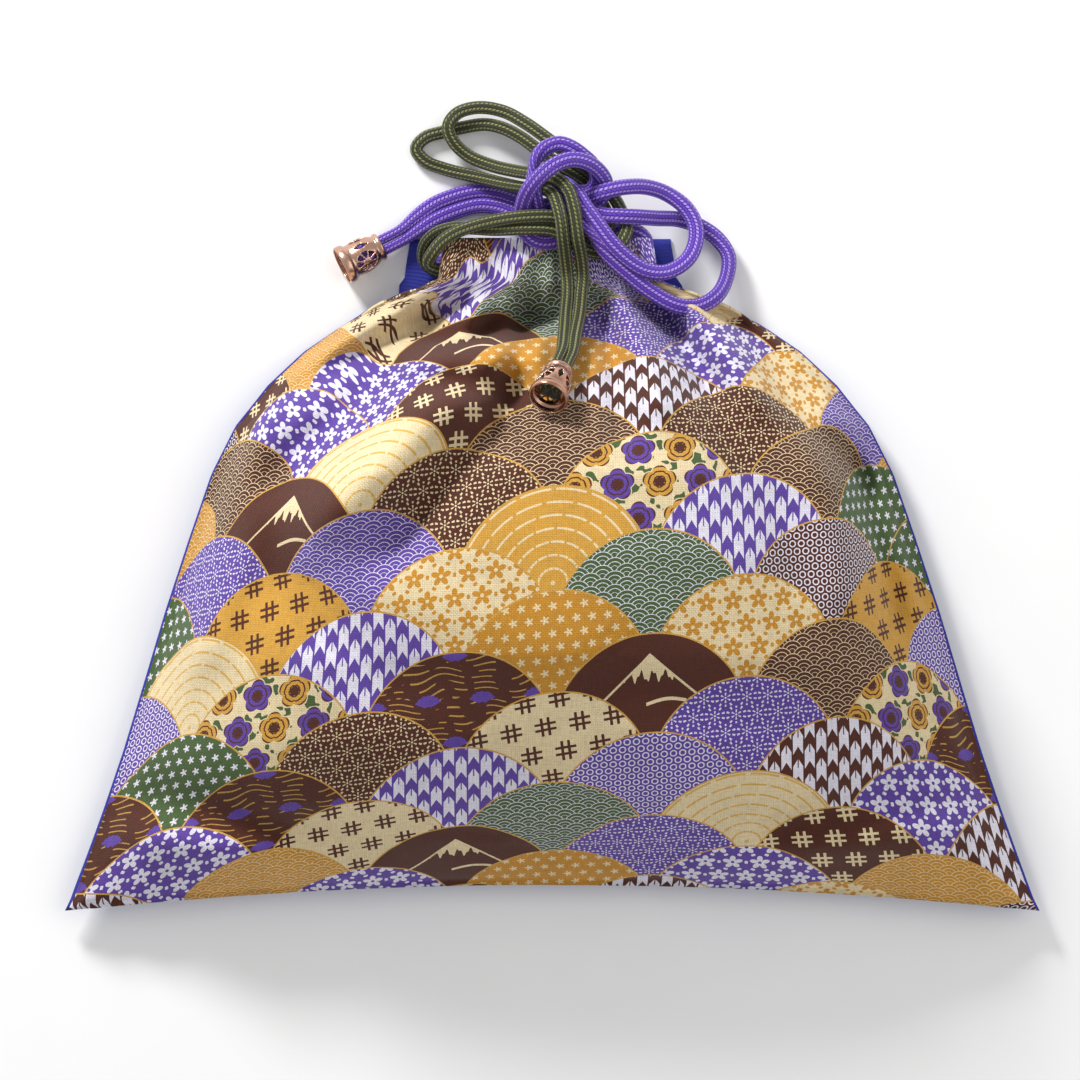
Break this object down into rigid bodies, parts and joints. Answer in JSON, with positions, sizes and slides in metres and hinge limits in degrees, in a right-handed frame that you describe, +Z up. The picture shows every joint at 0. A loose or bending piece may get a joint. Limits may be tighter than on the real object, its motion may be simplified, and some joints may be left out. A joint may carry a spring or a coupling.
{
  "type": "kinchaku drawstring pouch",
  "caption": "Soft drawstring pouch lying filled, with a gathered neck, paired cords tied in a bow and pierced bell beads on the cord ends.",
  "frame": {"origin": "on the surface that the pouch lies on, under the middle of the cloth's box", "axes": "+X to the right along the bottom seam, +Y towards the neck, +Z up through the belly"},
  "size_m": [0.243, 0.2022, 0.0586],
  "materials": {
    "print_cotton": "plain-weave cotton, printed all over, with metallic gold outlines",
    "blue_cotton": "plain-weave cotton, solid royal blue",
    "olive_nylon": "braided nylon, slight sheen",
    "violet_nylon": "braided nylon, slight sheen",
    "rose_gold": "polished rose-gold plate"
  },
  "bodies": {
    "pouch": {"front_panel": "print_cotton", "back_panel": "blue_cotton", "front_lining": "blue_cotton", "back_lining": "blue_cotton", "olive_cord": "olive_nylon", "violet_cord": "violet_nylon"},
    "olive_bead": {"olive_bead": "rose_gold"},
    "violet_bead": {"violet_bead": "rose_gold"}
  },
  "joints": [
    {"name": "olive_bead_slide", "type": "slide", "parent": "pouch", "child": "olive_bead", "axis": [0.2564, 0.6188, -0.7425], "range_m": [0, 0.0035]},
    {"name": "violet_bead_slide", "type": "slide", "parent": "pouch", "child": "violet_bead", "axis": [0.879, 0.457, -0.1362], "range_m": [0, 0.006]}
  ]
}
